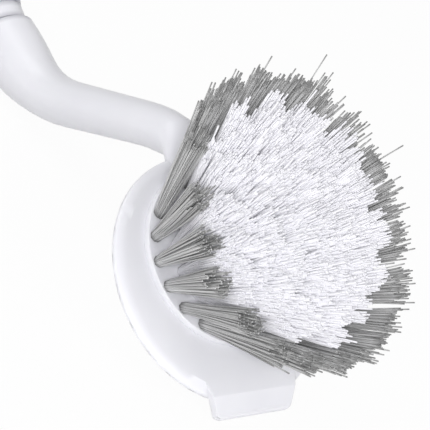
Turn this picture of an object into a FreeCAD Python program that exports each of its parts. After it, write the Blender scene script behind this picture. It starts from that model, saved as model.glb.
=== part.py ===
import FreeCAD, Part
import math
import os

os.makedirs("parts", exist_ok=True)

# A dish brush. One moulding makes the head, the scraper, the cranked neck and the grip, and tufts of
# bristle are held in blind holes of the head by flat wire anchors.
# Lengths are in millimetres and angles in degrees. The brush is drawn about the middle of its tuft
# field, with x towards the grip and z the way the bristles point, and is laid on its back at the end.

# Head disc
head_radius = 35.0
head_lead = 5.3
bevel_width = 2.9
bevel_height = 1.5
rim_wall = 1.2
rim_chamfer = 0.4
back_depth = 6.5
back_flat_radius = 24.0
back_shoulder_radius = 31.5
back_shoulder_depth = 4.6

# Raised platform that the tufts stand in
platform_height = 1.7
platform_margin = 0.8
platform_chamfer = 0.45

# Scraper tab opposite the grip
scraper_reach = 3.0
scraper_root_width = 29.8
scraper_tip_width = 26.0
scraper_tip_drop = 2.1
scraper_thickness = 2.2
scraper_corner_radius = 2.6
scraper_sink = 9.0

# Middle line of the neck and grip
neck_reach = 30.2
neck_inset = 10.2
neck_depth = 0.3
root_bend_radius = 8.9
root_slope = 47.0
neck_bend_radius = 59.0
neck_slope = 59.8
neck_drop = 34.2
crank_radius = 46.3
grip_slope = 8.9
grip_length = 104.0

# Sections of the neck and its bulge
root_half_width = 8.5
root_half_height = 2.0
neck_radius = 6.35
bulge_radius = 9.8
bulge_length = 9.6
bulge_end_radius = 8.9

# Collar between two grooves
groove_width = 1.05
groove_radius = 6.6
collar_length = 5.0
collar_radius = 7.35

# Grip and hanging hole
grip_half_width = 10.4
grip_half_height = 9.0
hang_radius = 3.5
hang_inset = 13.0
hang_wall = 9.0
hang_flat_margin = 4.0
hang_flat_ramp = 14.0

# Tuft holes, fanned about one point below the head
hole_radius = 1.75
hole_sides = 8
hole_depth = 6.0
fan_depth = 66.0
outer_ring_radius = 22.4
middle_ring_radius = 3.7
# Steps from the middle ring outwards, as parts of the way to the outer ring
ring_steps = (5.9, 6.3, 6.5)
outer_count = 20
second_count = 14
third_count = 8
middle_count = 3

# Tufts
trim_height = 33.5
tuft_clearance = 0.1
tuft_proud = 0.8
tuft_splay = 4.4
clump_valley_share = 0.62
clump_dip = 4.5
clump_length_shares = (1.0, 0.975, 0.99, 0.96)

# Wire anchors
anchor_thickness = 0.5
anchor_height = 1.9
anchor_bite = 0.3
anchor_lift = 0.8

# Cuts run past the surface by this much
overrun = 3.0

# Shares of the run and of the change in section, from the root to the neck, up to the bulge and down
flare_shares = ((0.16, 0.12), (0.33, 0.37), (0.45, 0.68), (0.57, 0.91), (0.75, 0.99))
growth_shares = ((0.24, 0.07), (0.46, 0.14), (0.64, 0.27), (0.8, 0.57), (0.9, 0.86))
fall_shares = ((0.42, 0.16), (0.72, 0.42), (0.9, 0.74))
# Shares of the grip's length, half width and half height, from the collar to the end
grip_shares = (
    (0.0, 0.73, 0.84),
    (0.06, 0.85, 0.95),
    (0.22, 0.95, 1.0),
    (0.46, 1.0, 0.98),
    (0.7, 0.96, 0.88),
    (0.86, 0.92, 0.78),
    (0.93, 0.84, 0.69),
    (0.97, 0.69, 0.55),
    (0.99, 0.5, 0.39),
    (1.0, 0.3, 0.24),
)
section_points = 12
# Sections of the neck in each piece of the middle line, closer together where it bends more
inset_sections = 2
root_bend_sections = 6
neck_bend_sections = 3
drop_sections = 5
crank_sections = 9

# Derived places
platform_z = bevel_height + platform_height
ring_span = outer_ring_radius - middle_ring_radius
third_ring_radius = middle_ring_radius + ring_span * ring_steps[0] / sum(ring_steps)
second_ring_radius = outer_ring_radius - ring_span * ring_steps[2] / sum(ring_steps)
outer_tilt = math.atan2(outer_ring_radius, fan_depth)
platform_radius = outer_ring_radius + hole_radius / math.cos(outer_tilt) + platform_margin
root_bend_length = root_bend_radius * math.radians(root_slope)
neck_bend_length = neck_bend_radius * math.radians(neck_slope - root_slope)
crank_length = crank_radius * math.radians(neck_slope - grip_slope)
bend_end = neck_inset + root_bend_length + neck_bend_length
bulge_end = bend_end + neck_drop + crank_length
bulge_run = bulge_end - bulge_length
collar_start = bulge_end + groove_width
grip_start = collar_start + collar_length + groove_width
scraper_tip_x = -head_lead - head_radius - scraper_reach
scraper_tip_z = bevel_height - scraper_tip_drop

RINGS = (
    ("outer", outer_count, outer_ring_radius),
    ("second", second_count, second_ring_radius),
    ("third", third_count, third_ring_radius),
    ("middle", middle_count, middle_ring_radius),
)

Y_AXIS = FreeCAD.Vector(0, 1, 0)
Z_AXIS = FreeCAD.Vector(0, 0, 1)
ORIGIN = FreeCAD.Vector(0, 0, 0)


def point(x, y, z):
    return FreeCAD.Vector(x, y, z)


def line(start, end):
    return Part.LineSegment(start, end).toShape()


def arc(start, middle, end):
    return Part.Arc(start, middle, end).toShape()


def prism(edges, direction):
    return Part.Face(Part.Wire(edges)).extrude(direction)


def lathe(corners):
    """Turn a half section about the z axis."""
    outline = Part.Face(Part.makePolygon(corners + corners[:1]))
    return outline.revolve(ORIGIN, Z_AXIS, 360)


def head_disc():
    """The disc, turned from its half section: flat face, bevelled rim and a back that falls away."""
    chamfer = min(rim_chamfer, rim_wall / 2)
    corners = [
        point(0, 0, bevel_height),
        point(head_radius - bevel_width, 0, bevel_height),
        point(head_radius - chamfer, 0, chamfer * bevel_height / bevel_width),
        point(head_radius, 0, -chamfer),
        point(head_radius, 0, -rim_wall),
        point(back_shoulder_radius, 0, -back_shoulder_depth),
        point(back_flat_radius, 0, -back_depth),
        point(0, 0, -back_depth),
    ]
    disc = lathe(corners)
    disc.translate(point(-head_lead, 0, 0))
    return disc


def tuft_platform():
    """The raised round on the head's face, about the middle of the tuft field."""
    chamfer = min(platform_chamfer, platform_height / 2)
    return lathe([
        point(0, 0, 0),
        point(platform_radius, 0, 0),
        point(platform_radius, 0, platform_z - chamfer),
        point(platform_radius - chamfer, 0, platform_z),
        point(0, 0, platform_z),
    ])


def scraper_tab():
    """A tapered plate that goes on from the face, over the bevel and past the rim."""
    half_root = scraper_root_width / 2
    half_tip = scraper_tip_width / 2
    root_x = -head_lead - math.sqrt(head_radius ** 2 - half_root ** 2)
    taper = (half_root - half_tip) / (root_x - scraper_tip_x)
    inner_x = root_x + scraper_sink
    half_inner = half_root + taper * scraper_sink
    high = point(0, 0, bevel_height + back_depth)
    floor_z = -back_depth
    plan_points = [
        point(inner_x, -half_inner, floor_z),
        point(inner_x, half_inner, floor_z),
        point(scraper_tip_x, half_tip, floor_z),
        point(scraper_tip_x, -half_tip, floor_z),
    ]
    plan = Part.Face(Part.makePolygon(plan_points + plan_points[:1])).extrude(high)
    corners = []
    for edge in plan.Edges:
        upright = math.isclose(edge.Length, high.Length)
        if upright and math.isclose(edge.BoundBox.XMin, scraper_tip_x):
            corners.append(edge)
    plan = plan.makeFillet(scraper_corner_radius, corners)

    nose = scraper_thickness / 2
    bevel_x = -head_lead - head_radius + bevel_width
    side = -half_inner
    top_inner = point(inner_x, side, bevel_height)
    top_bevel = point(bevel_x, side, bevel_height)
    tip_high = point(scraper_tip_x + nose, side, scraper_tip_z)
    tip_front = point(scraper_tip_x, side, scraper_tip_z - nose)
    tip_low = point(scraper_tip_x + nose, side, scraper_tip_z - scraper_thickness)
    low_bevel = point(bevel_x, side, bevel_height - scraper_thickness)
    low_inner = point(inner_x, side, bevel_height - scraper_thickness)
    edges = [
        line(top_inner, top_bevel),
        line(top_bevel, tip_high),
        arc(tip_high, tip_front, tip_low),
        line(tip_low, low_bevel),
        line(low_bevel, low_inner),
        line(low_inner, top_inner),
    ]
    return plan.common(prism(edges, point(0, 2 * half_inner, 0)))


def path_place(run):
    """Point and downward slope of the middle line, a given run along it from inside the head."""
    pieces = (
        (neck_inset, 0),
        (root_bend_length, math.radians(root_slope)),
        (neck_bend_length, math.radians(neck_slope - root_slope)),
        (neck_drop, 0),
        (crank_length, math.radians(grip_slope - neck_slope)),
        (max(run, grip_length), 0),
    )
    x = neck_reach - neck_inset
    z = -neck_depth
    slope = 0
    for length, turn in pieces:
        step = min(run, length)
        if turn:
            radius = length / turn
            next_slope = slope + step / radius
            x += radius * (math.sin(next_slope) - math.sin(slope))
            z += radius * (math.cos(next_slope) - math.cos(slope))
            slope = next_slope
        else:
            x += step * math.cos(slope)
            z -= step * math.sin(slope)
        run -= step
    return point(x, 0, z), slope


def path_frame(run):
    """Middle point, forward direction and upward direction of the section at a run."""
    middle, slope = path_place(run)
    forward = point(math.cos(slope), 0, -math.sin(slope))
    upward = point(math.sin(slope), 0, math.cos(slope))
    return middle, forward, upward


def oval(run, half_width, half_height):
    """An oval section square to the middle line."""
    middle, forward, upward = path_frame(run)
    points = []
    for index in range(section_points):
        angle = 2 * math.pi * index / section_points
        sideways = Y_AXIS * (half_width * math.cos(angle))
        points.append(middle + sideways + upward * (half_height * math.sin(angle)))
    steps = [index / section_points for index in range(section_points + 1)]
    curve = Part.BSplineCurve()
    curve.interpolate(Points=points, Parameters=steps, PeriodicFlag=True)
    return Part.Wire(curve.toShape())


def between(start, end, share):
    return start + (end - start) * share


def neck_runs():
    """Places of the neck's sections along the middle line."""
    pieces = (
        (neck_inset, inset_sections),
        (root_bend_length, root_bend_sections),
        (neck_bend_length, neck_bend_sections),
        (neck_drop, drop_sections),
        (crank_length, crank_sections),
    )
    runs = [0]
    for length, count in pieces:
        start = runs[-1]
        runs.extend(start + length * (step + 1) / count for step in range(count))
    return runs


def neck_and_bulge():
    """The neck comes out level with the platform, drops behind the head and swells to the bulge."""
    profile = [point(0, root_half_width, root_half_height)]
    for run_share, share in flare_shares:
        half_width = between(root_half_width, neck_radius, share)
        half_height = between(root_half_height, neck_radius, share)
        profile.append(point(bend_end * run_share, half_width, half_height))
    profile.append(point(bend_end, neck_radius, neck_radius))
    for run_share, share in growth_shares:
        radius = between(neck_radius, bulge_radius, share)
        profile.append(point(between(bend_end, bulge_run, run_share), radius, radius))
    profile.append(point(bulge_run, bulge_radius, bulge_radius))
    for run_share, share in fall_shares:
        radius = between(bulge_radius, bulge_end_radius, share)
        profile.append(point(between(bulge_run, bulge_end, run_share), radius, radius))
    profile.append(point(bulge_end, bulge_end_radius, bulge_end_radius))
    curve = Part.BSplineCurve()
    curve.interpolate(Points=profile, Parameters=[place.x for place in profile])
    sections = []
    for run in neck_runs():
        place = curve.value(run)
        sections.append(oval(run, place.y, place.z))
    return Part.makeLoft(sections, True, True)


def collar():
    """A short collar on a thinner core, which leaves a groove on either side of it."""
    middle, forward, upward = path_frame(collar_start)
    core_lap = bulge_end_radius - groove_radius + groove_width
    core_length = collar_length + 2 * (groove_width + core_lap)
    core_base = middle - forward * (groove_width + core_lap)
    core = Part.makeCylinder(groove_radius, core_length, core_base, forward)
    ring = Part.makeCylinder(collar_radius, collar_length, middle, forward)
    return core.fuse(ring)


def grip():
    """An oval grip that swells to the palm and rounds off at its end."""
    sections = []
    for run_share, width_share, height_share in grip_shares:
        run = grip_start + grip_length * run_share
        sections.append(oval(run, grip_half_width * width_share, grip_half_height * height_share))
    return Part.makeLoft(sections, True, True)


def hang_cuts():
    """The hanging hole, and a ramp to a flat on both faces that leaves it a wall of even length."""
    middle, forward, upward = path_frame(grip_start + grip_length - hang_inset)
    reach = grip_half_height + overrun
    half_width = grip_half_width + overrun
    flat_start = -hang_radius - hang_flat_margin
    flat_end = hang_inset + overrun
    bore = Part.makeCylinder(hang_radius, 2 * reach, middle - upward * reach, upward)
    cuts = [bore]
    for side in (1, -1):
        base = middle - Y_AXIS * half_width
        outward = upward * side
        corners = [
            base + forward * flat_start + outward * (hang_wall / 2),
            base + forward * flat_end + outward * (hang_wall / 2),
            base + forward * flat_end + outward * reach,
            base + forward * (flat_start - hang_flat_ramp) + outward * reach,
        ]
        outline = Part.Face(Part.makePolygon(corners + corners[:1]))
        cuts.append(outline.extrude(Y_AXIS * (2 * half_width)))
    return cuts


def tuft_placement(ring_radius, angle):
    """From a tuft's own frame, z along it and x away from the middle, to its place on the platform."""
    tilt = math.degrees(math.atan2(ring_radius, fan_depth))
    lean = FreeCAD.Placement(point(ring_radius, 0, platform_z), FreeCAD.Rotation(Y_AXIS, tilt))
    spin = FreeCAD.Placement(ORIGIN, FreeCAD.Rotation(Z_AXIS, angle))
    return spin.multiply(lean)


def tuft_hole():
    corners = [tuft_corner(2 * index, hole_radius, -hole_depth) for index in range(hole_sides)]
    outline = Part.Face(Part.makePolygon(corners + corners[:1]))
    return outline.extrude(point(0, 0, hole_depth + overrun))


def wire_anchor():
    """A flat wire across the hole, longer than the hole is wide, so that it bites into the wall."""
    length = 2 * (hole_radius + anchor_bite)
    corner = point(-anchor_thickness / 2, -length / 2, -hole_depth + anchor_lift)
    return Part.makeBox(anchor_thickness, length, anchor_height, corner)


def tuft_corner(index, radius, height):
    """A corner at one of twice as many even places round a tuft as its hole has sides."""
    angle = math.pi * index / hole_sides + math.pi / hole_sides
    return point(radius * math.cos(angle), radius * math.sin(angle), height)


def tuft_room(count, ring_radius):
    """Half the angle between a tuft and its nearest neighbour, seen from the point they fan out from."""
    tilt = math.atan2(ring_radius, fan_depth)
    apart = [2 * math.asin(math.sin(math.pi / count) * math.sin(tilt))]
    for name, other_count, other_radius in RINGS:
        if other_radius != ring_radius:
            apart.append(abs(tilt - math.atan2(other_radius, fan_depth)))
    return min(apart) / 2


def tuft(count, ring_radius):
    """Bristles packed in the hole round the anchor, which spread to a ring of clumps at their tips.

    They spread by the splay where their neighbours leave them room.
    """
    plug_radius = hole_radius - tuft_clearance
    plug_low = tuft_clearance - hole_depth
    tilt = math.atan2(ring_radius, fan_depth)
    length = trim_height / math.cos(tilt)
    spread = plug_radius + length * math.tan(math.radians(tuft_splay))
    fan_length = length + fan_depth / math.cos(tilt)
    room = fan_length * math.tan(tuft_room(count, ring_radius)) - tuft_clearance
    tip_radius = min(spread, room)
    crown = point(0, 0, length)
    faces = []
    for index in range(hole_sides):
        here = 2 * index
        after = here + 2
        lengths = [clump_length_shares[place % len(clump_length_shares)] for place in (index, index + 1)]
        low = [tuft_corner(place, plug_radius, plug_low) for place in (here, after)]
        high = [tuft_corner(place, plug_radius, tuft_proud) for place in (here, after)]
        clump = tuft_corner(here, tip_radius, length * lengths[0])
        valley = tuft_corner(here + 1, tip_radius * clump_valley_share, length - clump_dip)
        clump_after = tuft_corner(after, tip_radius, length * lengths[1])
        faces.append([low[0], low[1], high[1], high[0]])
        faces.append([high[0], valley, clump])
        faces.append([high[0], high[1], valley])
        faces.append([high[1], clump_after, valley])
        faces.append([clump, valley, crown])
        faces.append([valley, clump_after, crown])
    faces.append([tuft_corner(2 * index, plug_radius, plug_low) for index in range(hole_sides)])
    shell = Part.Shell([Part.Face(Part.makePolygon(loop + loop[:1])) for loop in faces])
    return Part.Solid(shell).cut(wire_anchor())


def placed(shape, placement):
    copy = shape.copy()
    copy.Placement = placement.multiply(copy.Placement)
    return copy


def lie_angle():
    """Turn that brings the scraper's tip and the bulge down on one level."""
    tip_x = scraper_tip_x
    tip_z = scraper_tip_z - scraper_thickness
    middle, slope = path_place(bulge_run)
    apart = math.hypot(middle.x - tip_x, middle.z - tip_z)
    fall = math.atan2(tip_z - middle.z, middle.x - tip_x)
    return math.degrees(fall + math.asin(bulge_radius / apart))


nodes = {}
pockets = []
for ring_name, count, ring_radius in RINGS:
    hole = tuft_hole()
    anchor = wire_anchor()
    ring_tuft = tuft(count, ring_radius)
    anchors = []
    for index in range(count):
        placement = tuft_placement(ring_radius, 360 * index / count)
        nodes[f"{ring_name}_tuft_{index + 1:02d}"] = placed(ring_tuft, placement)
        anchors.append(placed(anchor, placement))
        pockets.append(placed(hole, placement))
    pockets.extend(anchors)
    nodes[f"{ring_name}_anchors"] = Part.makeCompound(anchors)

body = head_disc().fuse([tuft_platform(), scraper_tab(), neck_and_bulge(), collar(), grip()])
nodes["brush_body"] = body.cut(pockets + hang_cuts())

lay = FreeCAD.Placement(ORIGIN, FreeCAD.Rotation(Y_AXIS, -lie_angle()))
laid = {name: placed(shape, lay) for name, shape in nodes.items()}
box = Part.makeCompound(list(laid.values())).optimalBoundingBox(False, False)
stand = FreeCAD.Placement(point(-box.Center.x, -box.Center.y, -box.ZMin), FreeCAD.Rotation())
for name, shape in laid.items():
    placed(shape, stand).exportStep(f"parts/{name}.step")

hang_middle, hang_forward, hang_upward = path_frame(grip_start + grip_length - hang_inset)
hang_place = stand.multVec(lay.multVec(hang_middle))
print("nodes", len(nodes), "valid", all(shape.isValid() for shape in nodes.values()))
print("body solids", len(nodes["brush_body"].Solids), "volume", round(nodes["brush_body"].Volume))
print("box", box.XLength, box.YLength, box.ZLength, "lie angle", lie_angle())
print("shift", stand.Base)
print("hanging hole", hang_place, lay.Rotation.multVec(hang_upward))
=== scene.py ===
# %% [markdown]
# A dish brush with a round head. One white moulding makes the grip, the cranked neck, the head and
# its scraper. Grey tufts stand round the edge of the head and white tufts fill its middle.
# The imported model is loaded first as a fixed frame, in metres, and every piece made here stays in it.

# %% Load the frame
import bpy
import math
import random
import numpy as np
from mathutils import Matrix, Vector


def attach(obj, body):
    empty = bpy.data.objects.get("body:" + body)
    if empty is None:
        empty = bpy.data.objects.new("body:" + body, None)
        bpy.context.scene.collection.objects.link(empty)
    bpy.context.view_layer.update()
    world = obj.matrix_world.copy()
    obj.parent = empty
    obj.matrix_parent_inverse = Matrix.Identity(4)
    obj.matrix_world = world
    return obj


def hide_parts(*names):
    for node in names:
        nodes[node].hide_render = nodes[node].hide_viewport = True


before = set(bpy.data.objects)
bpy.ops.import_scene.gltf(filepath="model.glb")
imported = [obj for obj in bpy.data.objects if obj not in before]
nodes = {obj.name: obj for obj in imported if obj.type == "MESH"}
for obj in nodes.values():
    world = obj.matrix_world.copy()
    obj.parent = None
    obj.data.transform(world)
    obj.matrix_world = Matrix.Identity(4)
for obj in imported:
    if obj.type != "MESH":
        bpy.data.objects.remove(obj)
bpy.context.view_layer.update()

# %% [markdown]
# The head lies tilted, so it is handy to have its own axes. The tufts of one ring stand evenly round
# the head's middle, and so do their anchors, so the line between the two averages is the head's axis.
# The platform's top lies a known depth above the middle of the anchors.

# %% Find the head's own axes
mm = 0.001
fan_depth = 66.0 * mm
rings = (
    ("outer", 20, 22.4 * mm),
    ("second", 14, 15.9 * mm),
    ("third", 8, 9.6 * mm),
    ("middle", 3, 3.7 * mm),
)
anchor_depth = 4.25 * mm
platform_rise = 3.2 * mm


def middle_of(names):
    """Average corner of some nodes."""
    corners = [vertex.co for name in names for vertex in nodes[name].data.vertices]
    return sum(corners, Vector()) / len(corners)


def tuft_names(ring, count):
    return [f"{ring}_tuft_{index + 1:02d}" for index in range(count)]


outer_name, outer_count, outer_radius = rings[0]
anchor_middle = middle_of([f"{outer_name}_anchors"])
head_up = (middle_of(tuft_names(outer_name, outer_count)) - anchor_middle).normalized()
head_side = Vector((0, 1, 0))
head_along = head_side.cross(head_up).normalized()
anchor_rise = anchor_depth * math.cos(math.atan2(outer_radius, fan_depth))
platform_middle = anchor_middle + head_up * anchor_rise
head_middle = platform_middle - head_up * platform_rise


def from_head(direction):
    """A direction given along the head's own axes, in the frame's axes."""
    return head_along * direction[0] + head_side * direction[1] + head_up * direction[2]


print("head axis", [round(v, 4) for v in head_up], "middle", [round(v, 4) for v in head_middle])

# %% [markdown]
# The moulding is white plastic with a soft gloss, as from a polished mould. A single colour would
# look like paper, so slow noise shifts the white a little, finer noise breaks up the gloss, and a
# very fine bump gives the slight waviness of a moulded skin. Some light goes into such plastic, which
# the subsurface setting gives. Painted shade darkens the colour softly within two millimetres of the
# two grooves beside the collar, between the neck and the grip, where shade falls in the grooves.

# %% White plastic
collar_middle = (98.1 * mm, 0.0, -66.25 * mm)
collar_slope = math.radians(8.9)
collar_way = (math.cos(collar_slope), 0.0, -math.sin(collar_slope))
# Painted shade in the grooves: where the grooves lie from the collar's middle, how far the shade reaches
# and how dark it gets.
groove_from_middle = 3.0 * mm
groove_painted_shade_reach = 2.2 * mm
groove_painted_shade_tint = (0.66, 0.66, 0.68)


def new_material(name):
    """A new material, with its node tree and its shader."""
    material = bpy.data.materials.new(name)
    material.use_nodes = True
    tree = material.node_tree
    shader = tree.nodes["Principled BSDF"]
    return material, tree, shader


def noise_node(tree, coordinates, scale, detail):
    """Noise between 0 and 1. The scale is in waves per metre."""
    noise = tree.nodes.new("ShaderNodeTexNoise")
    noise.inputs["Scale"].default_value = scale
    noise.inputs["Detail"].default_value = detail
    tree.links.new(coordinates, noise.inputs["Vector"])
    return noise.outputs["Fac"]


def ramp_node(tree, value, stops):
    """A colour ramp with a colour at each of some places."""
    ramp = tree.nodes.new("ShaderNodeValToRGB")
    elements = ramp.color_ramp.elements
    while len(elements) < len(stops):
        elements.new(1.0)
    for element, (place, colour) in zip(elements, stops):
        element.position = place
        element.color = (*colour, 1.0)
    tree.links.new(value, ramp.inputs["Fac"])
    return ramp.outputs["Color"]


def range_node(tree, value, low, high):
    """A value from 0 to 1 spread between two others."""
    spread = tree.nodes.new("ShaderNodeMapRange")
    spread.inputs["To Min"].default_value = low
    spread.inputs["To Max"].default_value = high
    tree.links.new(value, spread.inputs["Value"])
    return spread.outputs["Result"]


def math_node(tree, operation, value, other=0.0):
    """A sum on a value and a plain number."""
    node = tree.nodes.new("ShaderNodeMath")
    node.operation = operation
    node.inputs[1].default_value = other
    tree.links.new(value, node.inputs[0])
    return node.outputs[0]


def painted_groove_shade(tree, place):
    """A grey level of painted shade: white on the plastic and darker in the two grooves beside the collar.
    """
    offset = tree.nodes.new("ShaderNodeVectorMath")
    offset.operation = "SUBTRACT"
    offset.inputs[1].default_value = head_middle + from_head(collar_middle)
    tree.links.new(place, offset.inputs[0])
    along = tree.nodes.new("ShaderNodeVectorMath")
    along.operation = "DOT_PRODUCT"
    along.inputs[1].default_value = from_head(collar_way)
    tree.links.new(offset.outputs["Vector"], along.inputs[0])
    apart = math_node(tree, "ABSOLUTE", along.outputs["Value"])
    apart = math_node(tree, "ABSOLUTE", math_node(tree, "SUBTRACT", apart, groove_from_middle))
    near = math_node(tree, "DIVIDE", apart, groove_painted_shade_reach)
    return ramp_node(tree, near, ((0.2, groove_painted_shade_tint), (1.0, (1, 1, 1))))


def tinted(tree, colour, tint):
    """One colour multiplied by another."""
    mixed = tree.nodes.new("ShaderNodeMix")
    mixed.data_type = "RGBA"
    mixed.blend_type = "MULTIPLY"
    mixed.inputs["Factor"].default_value = 1.0
    tree.links.new(colour, mixed.inputs["A"])
    tree.links.new(tint, mixed.inputs["B"])
    return mixed.outputs["Result"]


def white_plastic():
    material, tree, shader = new_material("white_plastic_satin")
    place = tree.nodes.new("ShaderNodeTexCoord").outputs["Object"]
    slow = noise_node(tree, place, 45.0, 2.0)
    white = ramp_node(tree, slow, ((0.3, (0.75, 0.75, 0.79)), (0.7, (0.79, 0.79, 0.825))))
    # The base colour is multiplied by the painted shade of the grooves.
    tree.links.new(tinted(tree, white, painted_groove_shade(tree, place)), shader.inputs["Base Color"])
    fine = noise_node(tree, place, 420.0, 3.0)
    tree.links.new(range_node(tree, fine, 0.27, 0.36), shader.inputs["Roughness"])
    bump = tree.nodes.new("ShaderNodeBump")
    bump.inputs["Strength"].default_value = 0.03
    bump.inputs["Distance"].default_value = 0.2 * mm
    tree.links.new(fine, bump.inputs["Height"])
    tree.links.new(bump.outputs["Normal"], shader.inputs["Normal"])
    shader.inputs["IOR"].default_value = 1.49
    shader.inputs["Specular IOR Level"].default_value = 0.3
    shader.inputs["Subsurface Weight"].default_value = 0.5
    shader.inputs["Subsurface Radius"].default_value = (1.0, 0.95, 1.0)
    shader.inputs["Subsurface Scale"].default_value = 1.5 * mm
    return material


plastic = white_plastic()
print("finish", plastic.name)

# %% [markdown]
# The moulding's shape is the CAD node's own. Its facets are loose triangles, so a copy is merged, and
# its flat faces are joined up. Smooth shading hides the facets of the round stretches, but only
# across edges that turn little. Weighted normals let the large faces stay flat beside their bevels.

# %% Moulding
sharp_angle = math.radians(25)
flat_angle = math.radians(0.4)
merge_distance = 0.002 * mm
normal_weight = 80


def only(obj):
    """Deselect everything, then select and activate one object."""
    bpy.ops.object.select_all(action="DESELECT")
    obj.select_set(True)
    bpy.context.view_layer.objects.active = obj


def merged_copy(node, name):
    """A copy of a CAD node with its loose facets merged and its flat faces joined up."""
    copy = nodes[node].copy()
    copy.data = nodes[node].data.copy()
    for key in list(copy.keys()):
        del copy[key]
    copy.parent = None
    copy.name = name
    copy.data.name = name
    bpy.context.scene.collection.objects.link(copy)
    only(copy)
    bpy.ops.object.mode_set(mode="EDIT")
    bpy.ops.mesh.select_all(action="SELECT")
    bpy.ops.mesh.remove_doubles(threshold=merge_distance)
    bpy.ops.mesh.dissolve_limited(angle_limit=flat_angle)
    bpy.ops.object.mode_set(mode="OBJECT")
    return copy


moulding = merged_copy("brush_body", "brush_moulding")
bpy.ops.object.shade_smooth_by_angle(angle=sharp_angle)
bpy.ops.object.modifier_add(type="WEIGHTED_NORMAL")
moulding.modifiers[-1].keep_sharp = True
moulding.modifiers[-1].weight = normal_weight
bpy.ops.object.modifier_apply(modifier=moulding.modifiers[-1].name)
moulding.data.materials.clear()
moulding.data.materials.append(plastic)
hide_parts("brush_body")
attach(moulding, "root")
print("moulding", len(moulding.data.polygons), "faces")

# %% [markdown]
# A bristle is a nylon thread about 0.4 mm thick. Real threads differ a little in shade. Painted shade
# darkens the cut ends, strongly on the grey threads and a little on the white, and the roots of the grey
# ones, where they fold into the hole. So each thread carries two numbers on its mesh: a shade of its own,
# and how far along the thread a point lies. The finish reads both.

# %% Bristle finishes
painted_root_shade_end = 0.02
painted_root_shade_fade_end = 0.09
painted_tip_shade_start = 0.94


def bristle_finish(name, dark, light, root_share, painted_tip_shade_share, roughness):
    """A finish between two shades, with painted shade that keeps only a share of its brightness at roots
    and tips.
    """
    material, tree, shader = new_material(name)
    shade = tree.nodes.new("ShaderNodeAttribute")
    shade.attribute_name = "thread_shade"
    along = tree.nodes.new("ShaderNodeAttribute")
    along.attribute_name = "thread_along"
    body = ramp_node(tree, shade.outputs["Fac"], ((0.0, dark), (1.0, light)))
    # Painted shade at the ends: the colour keeps only a share of its brightness at the root, where it folds
    # into the hole, and at the cut tip.
    painted_shade_stops = ((painted_root_shade_end, root_share), (painted_root_shade_fade_end, 1.0), (painted_tip_shade_start, 1.0), (1.0, painted_tip_shade_share))
    ends = ramp_node(tree, along.outputs["Fac"], [(place, (share,) * 3) for place, share in painted_shade_stops])
    tree.links.new(tinted(tree, body, ends), shader.inputs["Base Color"])
    tree.links.new(range_node(tree, shade.outputs["Fac"], *roughness), shader.inputs["Roughness"])
    shader.inputs["IOR"].default_value = 1.53
    return material


# The two numbers after the colours are the shares of brightness that the painted shade keeps at the roots
# and at the tips.
grey_bristle = bristle_finish(
    "grey_bristle_nylon", (0.33, 0.33, 0.33), (0.70, 0.70, 0.70), 0.55, 0.45, (0.38, 0.5))
white_bristle = bristle_finish(
    "white_bristle_nylon", (0.78, 0.775, 0.81), (0.87, 0.865, 0.905), 1.0, 0.95, (0.5, 0.65))
print("finishes", grey_bristle.name, white_bristle.name)

# %% [markdown]
# A tuft is a bunch of threads folded over its anchor, so it is round and tight at the root and fans
# out to an uneven tip. Each thread is a short curve with a round bevel. One curve object holds all
# the threads of a tuft, and is then made a mesh whose ends are merged closed.
# The threads of a tuft hang together in clumps, and use has pressed the tufts apart: those near the
# neck lean to the handle, and the rest to the scraper. The grey threads are few and cut off square.
# The white ones are many, widen to soft round ends, and most are cut shorter, which closes the middle
# of the brush into one white mass. Smooth shading over their ends gives the rounding.
# Angles of splay, lean and stray are in degrees, and a step is how unevenly the threads are cut.

# %% Tufts
root_radius = 1.5 * mm
root_depth = 3.0 * mm
trim_height = 33.5 * mm
thread_shares = (0.0, 0.3, 0.65, 1.0)
thread_merge_distance = 0.0001 * mm
shade_spread = 0.22
golden_turn = math.pi * (3 - math.sqrt(5))
clump_count = 14
clump_bow = 0.02
wild_factor = 3.0
long_share = 0.015
long_by = (1.5 * mm, 6.0 * mm)
handle_turn = math.radians(-25)
scraper_turn = math.radians(150)
handle_press = 6.5
scraper_press = 10.0
near_falloff = 0.35
far_falloff = 0.6


def slope(degrees):
    return math.tan(math.radians(degrees))


def tuft_frame(ring_radius, turn):
    """Root point and direction of a tuft, with two directions across it."""
    outward = head_along * math.cos(turn) + head_side * math.sin(turn)
    root = platform_middle + outward * ring_radius
    direction = (head_up * fan_depth + outward * ring_radius).normalized()
    across = direction.cross(outward).normalized()
    return root, direction, across.cross(direction), across


def pressed(turn):
    """Degrees by which use has pressed a tuft along the head, to the handle or to the scraper."""
    falloff = near_falloff if math.sin(turn) > 0 else far_falloff
    to_handle = max(0.0, math.cos(turn - handle_turn)) ** falloff
    to_scraper = max(0.0, math.cos(turn - scraper_turn)) ** falloff
    return handle_press * to_handle - scraper_press * to_scraper


def make_clumps(draw, kind):
    """Where each clump of a tuft lies across it, how it leans and bows, and how long it is cut."""
    clumps = []
    for _ in range(clump_count):
        turn = draw.uniform(0, 2 * math.pi)
        reach = math.sqrt(draw.random())
        lean = slope(kind["clump_stray"])
        clumps.append({
            "middle": (reach * math.cos(turn), reach * math.sin(turn)),
            "lean": (draw.gauss(0, lean), draw.gauss(0, lean)),
            "bow": (draw.gauss(0, clump_bow), draw.gauss(0, clump_bow)),
            "step": draw.gauss(0, kind["clump_step"]),
        })
    return clumps


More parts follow.
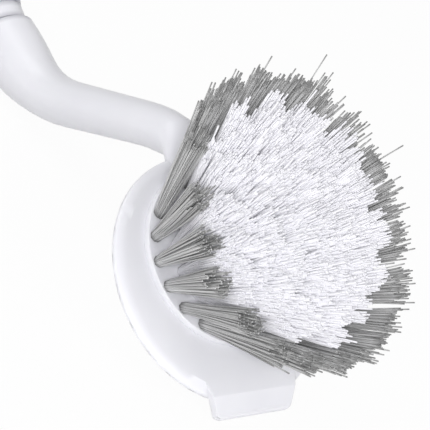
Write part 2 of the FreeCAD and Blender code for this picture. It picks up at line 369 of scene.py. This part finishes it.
def thread_line(draw, kind, clumps, index, place, lean, splay):
    """Points of one thread, from inside its hole to its cut tip."""
    root, direction, side, across = place
    share = math.sqrt((index + 0.5) / kind["count"])
    turn = index * golden_turn
    spot = (share * math.cos(turn), share * math.sin(turn))
    clump = min(clumps, key=lambda other: math.dist(other["middle"], spot))
    start = root + (side * spot[0] + across * spot[1]) * root_radius
    spread = draw.uniform(1 - kind["loose"], 1 + kind["loose"])
    wild = wild_factor if draw.random() < kind["wild_share"] else 1.0
    tilt = lean.copy()
    for axis, way in ((side, 0), (across, 1)):
        stray = clump["lean"][way] + draw.gauss(0, slope(kind["stray"]))
        tilt += axis * (spot[way] * spread * slope(splay[way]) + stray * wild)
    bow = side * clump["bow"][0] + across * clump["bow"][1]
    length = trim_height / direction.dot(head_up) + clump["step"] + draw.gauss(0, kind["thread_step"])
    if draw.random() < kind["short_share"]:
        length -= draw.uniform(*kind["short_by"])
    elif draw.random() < long_share:
        length += draw.uniform(*long_by)
    points = [start - direction * root_depth]
    for step in thread_shares:
        points.append(start + (direction * step + tilt * step + bow * (step * step - step)) * length)
    return points


def add_threads(name, draw, kind, place, lean, splay):
    """All the threads of a tuft as one mesh, with a shade for each and the way along it."""
    curve = bpy.data.curves.new(name, "CURVE")
    curve.dimensions = "3D"
    curve.bevel_depth = kind["radius"]
    curve.bevel_resolution = 1
    curve.use_fill_caps = True
    clumps = make_clumps(draw, kind)
    shades = []
    widths = [kind["root_share"] + (1 - kind["root_share"]) * share for share in (0.0, *thread_shares)]
    for index in range(kind["count"]):
        points = thread_line(draw, kind, clumps, index, place, lean, splay)
        spline = curve.splines.new("POLY")
        spline.points.add(len(points) - 1)
        spline.points.foreach_set("co", [v for point in points for v in (*point, 1.0)])
        spline.points.foreach_set("radius", widths)
        shades.append(min(1.0, max(0.0, draw.gauss(0.5, shade_spread))))
    threads = bpy.data.objects.new(name, curve)
    bpy.context.scene.collection.objects.link(threads)
    only(threads)
    bpy.ops.object.convert(target="MESH")
    root, direction = place[:2]
    reach = np.array([(vertex.co - root).dot(direction) for vertex in threads.data.vertices])
    reach = reach.reshape(kind["count"], -1)
    reach = reach / reach.max(axis=1, keepdims=True)
    return threads, np.repeat(shades, reach.shape[1]), reach.ravel()


def make_tuft(name, ring_radius, turn, seed, kind):
    """One finished tuft, which takes the place of its CAD node."""
    draw = random.Random(seed)
    place = tuft_frame(ring_radius, turn)
    side, across = place[2:]
    outward = kind["lean"] + kind["near_lean"] * max(0.0, math.sin(turn))
    lean = side * slope(outward + draw.gauss(0, kind["tuft_stray"]))
    lean += across * slope(draw.gauss(0, kind["tuft_stray"]))
    lean += head_along * slope(kind["press_share"] * pressed(turn))
    splay = (kind["splay"][0], kind["splay"][1] - kind["near_tightness"] * math.sin(turn))
    tuft, shades, along = add_threads(name, draw, kind, place, lean, splay)
    mesh = tuft.data
    for attribute, values in (("thread_shade", shades), ("thread_along", along)):
        layer = mesh.attributes.new(attribute, "FLOAT", "POINT")
        layer.data.foreach_set("value", values.astype(np.float32))
    bpy.ops.object.mode_set(mode="EDIT")
    bpy.ops.mesh.select_all(action="SELECT")
    bpy.ops.mesh.remove_doubles(threshold=thread_merge_distance)
    bpy.ops.object.mode_set(mode="OBJECT")
    bpy.ops.object.shade_smooth_by_angle(angle=math.radians(kind["smooth_angle"]))
    mesh.materials.clear()
    mesh.materials.append(kind["finish"])
    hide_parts(name.replace("bristles", "tuft"))
    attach(tuft, "root")
    return tuft


grey_kind = {
    "finish": grey_bristle, "slot": "grey_bristle", "smooth_angle": 70,
    "count": 84, "radius": 0.2 * mm, "root_share": 1.0,
    "splay": (2.8, 5.2), "near_tightness": 1.7, "lean": 1.0, "near_lean": 0.0, "press_share": 1.0,
    "tuft_stray": 0.5, "clump_stray": 0.5, "stray": 0.4, "wild_share": 0.03, "loose": 0.12,
    "clump_step": 1.3 * mm, "thread_step": 0.9 * mm, "short_share": 0.0, "short_by": (0.0, 0.0),
}
white_kind = {
    "finish": white_bristle, "slot": "white_bristle", "smooth_angle": 120,
    "count": 460, "radius": 0.25 * mm, "root_share": 0.5,
    "splay": (8.8, 8.8), "near_tightness": 0.0, "lean": 0.0, "near_lean": 0.0, "press_share": 0.4,
    "tuft_stray": 0.5, "clump_stray": 0.5, "stray": 0.3, "wild_share": 0.02, "loose": 0.03,
    "clump_step": 2.0 * mm, "thread_step": 0.15 * mm, "short_share": 0.76, "short_by": (1.0 * mm, 5.0 * mm),
}
edge_kind = dict(white_kind, splay=(8.2, 8.2), near_lean=3.0, press_share=0.7)
faces = 0
for ring_number, (ring, count, ring_radius) in enumerate(rings):
    kind = (grey_kind, edge_kind, white_kind, white_kind)[ring_number]
    for index in range(count):
        turn = 2 * math.pi * index / count
        seed = 1000 * ring_number + index
        tuft = make_tuft(f"{ring}_bristles_{index + 1:02d}", ring_radius, turn, seed, kind)
        faces += len(tuft.data.polygons)
print("tufts", sum(count for name, count, radius in rings), "faces", faces)

# %% [markdown]
# The anchors are short lengths of flat wire at the bottom of the holes. Their CAD shape is right, so
# they only get a steel finish, with fine streaks along the wire.

# %% Anchors
def drawn_steel():
    material, tree, shader = new_material("drawn_steel_wire")
    place = tree.nodes.new("ShaderNodeTexCoord").outputs["Object"]
    streaks = noise_node(tree, place, 2500.0, 2.0)
    stops = ((0.3, (0.52, 0.52, 0.53)), (0.7, (0.68, 0.68, 0.69)))
    tree.links.new(ramp_node(tree, streaks, stops), shader.inputs["Base Color"])
    tree.links.new(range_node(tree, streaks, 0.25, 0.45), shader.inputs["Roughness"])
    shader.inputs["Metallic"].default_value = 1.0
    return material


steel = drawn_steel()
for ring in rings:
    anchors = nodes[f"{ring[0]}_anchors"]
    anchors.data.materials.clear()
    anchors.data.materials.append(steel)
print("anchors in", steel.name)

# %% [markdown]
# The brush lies on a plain white floor. The camera and mirrored rays see most of the floor as plain
# white, and the rest of it as lit paint, so that a soft shadow stays.

# %% Floor
floor_size = 6.0
floor_paint = (0.75, 0.75, 0.75, 1.0)
floor_white_share = 0.95


def larger(tree, value, other):
    """The larger of two values."""
    node = tree.nodes.new("ShaderNodeMath")
    node.operation = "MAXIMUM"
    tree.links.new(value, node.inputs[0])
    tree.links.new(other, node.inputs[1])
    return node.outputs[0]


def add_floor():
    bpy.ops.object.select_all(action="DESELECT")
    bpy.ops.mesh.primitive_plane_add(size=floor_size)
    floor = bpy.context.object
    floor.name = "floor"
    material, tree, shader = new_material("floor_white")
    shader.inputs["Base Color"].default_value = floor_paint
    shader.inputs["Roughness"].default_value = 0.9
    ray = tree.nodes.new("ShaderNodeLightPath").outputs
    mirrored = larger(tree, ray["Is Glossy Ray"], ray["Is Transmission Ray"])
    seen = larger(tree, ray["Is Camera Ray"], mirrored)
    share = math_node(tree, "MULTIPLY", seen, floor_white_share)
    white = tree.nodes.new("ShaderNodeEmission")
    mix = tree.nodes.new("ShaderNodeMixShader")
    tree.links.new(share, mix.inputs["Fac"])
    tree.links.new(shader.outputs[0], mix.inputs[1])
    tree.links.new(white.outputs[0], mix.inputs[2])
    tree.links.new(mix.outputs[0], tree.nodes["Material Output"].inputs["Surface"])
    floor.data.materials.append(material)
    return floor


floor = add_floor()
print("floor", floor.name)

# %% [markdown]
# Soft studio light: an even pale world and three lamps a metre from the head. The strongest shines
# along the camera's view, so the threads hide their own shadows. A weaker one from the handle's side
# lights the top of the neck, and one above the scraper's side of the bristles lights the scraper.
# Each row gives a lamp's name, its direction along the head's axes, its width in metres and its watts.

# %% Light
lamp_distance = 1.0
world_strength = 0.42


def add_lamp(name, place, target, size, power):
    aim = (Vector(target) - Vector(place)).to_track_quat("-Z", "Y").to_euler()
    bpy.ops.object.light_add(type="AREA", location=place, rotation=aim)
    lamp = bpy.context.object
    lamp.name = name
    lamp.data.shape = "SQUARE"
    lamp.data.size = size
    lamp.data.energy = power


def pale_world(strength):
    world = bpy.data.worlds.new("studio")
    bpy.context.scene.world = world
    world.use_nodes = True
    background = world.node_tree.nodes["Background"]
    background.inputs["Color"].default_value = (1, 1, 1, 1)
    background.inputs["Strength"].default_value = strength


pale_world(world_strength)
lamps = (
    ("camera_lamp", (-0.208, 0.659, 0.7228), 0.2, 6.1),
    ("handle_lamp", (0.9, 0.25, 0.3), 0.5, 2.4),
    ("face_lamp", (-0.4, 0.0, 0.9), 0.6, 2.6),
)
for lamp_name, way, size, power in lamps:
    place = head_middle + from_head(way).normalized() * lamp_distance
    add_lamp(lamp_name, place, head_middle, size, power)
bpy.context.scene.view_settings.view_transform = "Standard"

# %% [markdown]
# The camera stands where the picture was taken from: close to the bristle side, with a long lens, and
# rolled so that the neck runs to the upper left. Its place and axes are given along the head's axes.

# %% Camera
camera_from_head = (-101.2 * mm, 356.0 * mm, 394.7 * mm)
camera_ahead = (0.208, -0.659, -0.7228)
camera_top = (0.9441, -0.058, 0.3245)
picture_width = 430
focal_pixels = 2000


def add_camera():
    ahead = from_head(camera_ahead).normalized()
    right = ahead.cross(from_head(camera_top)).normalized()
    top = right.cross(ahead)
    turn = Matrix((right, top, -ahead)).transposed()
    place = head_middle + from_head(camera_from_head)
    bpy.ops.object.camera_add(location=place, rotation=turn.to_euler())
    camera = bpy.context.object
    camera.data.sensor_width = 36.0
    camera.data.lens = camera.data.sensor_width * focal_pixels / picture_width
    camera.data.clip_start = 0.01
    bpy.context.scene.camera = camera
    return camera


camera = add_camera()
print("camera", [round(v, 4) for v in camera.location], "lens", round(camera.data.lens, 1))
